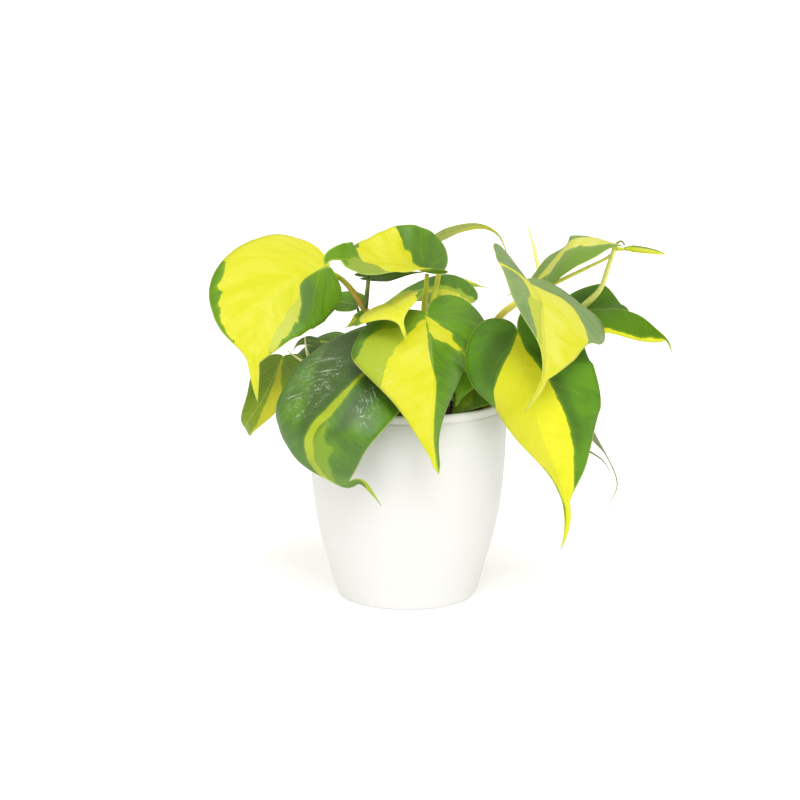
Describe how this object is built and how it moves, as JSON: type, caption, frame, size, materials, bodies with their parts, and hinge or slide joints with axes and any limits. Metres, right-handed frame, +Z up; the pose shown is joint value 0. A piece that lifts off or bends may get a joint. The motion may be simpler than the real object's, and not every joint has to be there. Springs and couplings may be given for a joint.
{
  "type": "potted brasil philodendron",
  "caption": "Trailing heart-leaf house plant with yellow and green leaves on thin stems, standing in soil in a round tapered white pot.",
  "frame": {"origin": "centre of the pot's foot, on the ground", "axes": "+Z up along the pot's axis; -Y towards the side with the large front leaves; the trailing stem reaches towards +X"},
  "size_m": [0.2745, 0.2037, 0.2301],
  "materials": {
    "pot": "satin",
    "soil": "matte",
    "stems": "satin",
    "leaves": "satin"
  },
  "bodies": {
    "root": {"pot": "pot", "soil": "soil", "stem_left": "stems", "stem_middle": "stems", "stem_front_left": "stems", "stem_low_left": "stems", "stem_right": "stems", "stem_hanging_right": "stems", "stem_rear_middle": "stems", "stem_rear_left": "stems", "stem_rear_right": "stems", "stem_inner_right": "stems", "young_leaf_right": "leaves", "leaf_top_left": "leaves", "leaf_top_middle": "leaves", "leaf_edge_on_left": "leaves", "leaf_behind_top_left": "leaves", "leaf_big_dark_left": "leaves", "leaf_small_yellow": "leaves", "leaf_back_tip": "leaves", "leaf_upper_back": "leaves", "leaf_front_centre": "leaves", "leaf_long_right": "leaves", "leaf_edge_on_top": "leaves", "leaf_folded_right": "leaves", "leaf_top_right": "leaves", "leaf_far_right": "leaves", "leaf_low_left": "leaves", "leaf_small_left": "leaves", "leaf_hanging_right": "leaves", "leaf_hanging_thin": "leaves", "leaf_inner_upper": "leaves", "leaf_inner_lower": "leaves", "leaf_sliver_left": "leaves", "leaf_rear_left": "leaves", "leaf_rear_middle": "leaves", "leaf_rear_right": "leaves", "leaf_rear_far_left": "leaves"}
  },
  "joints": []
}
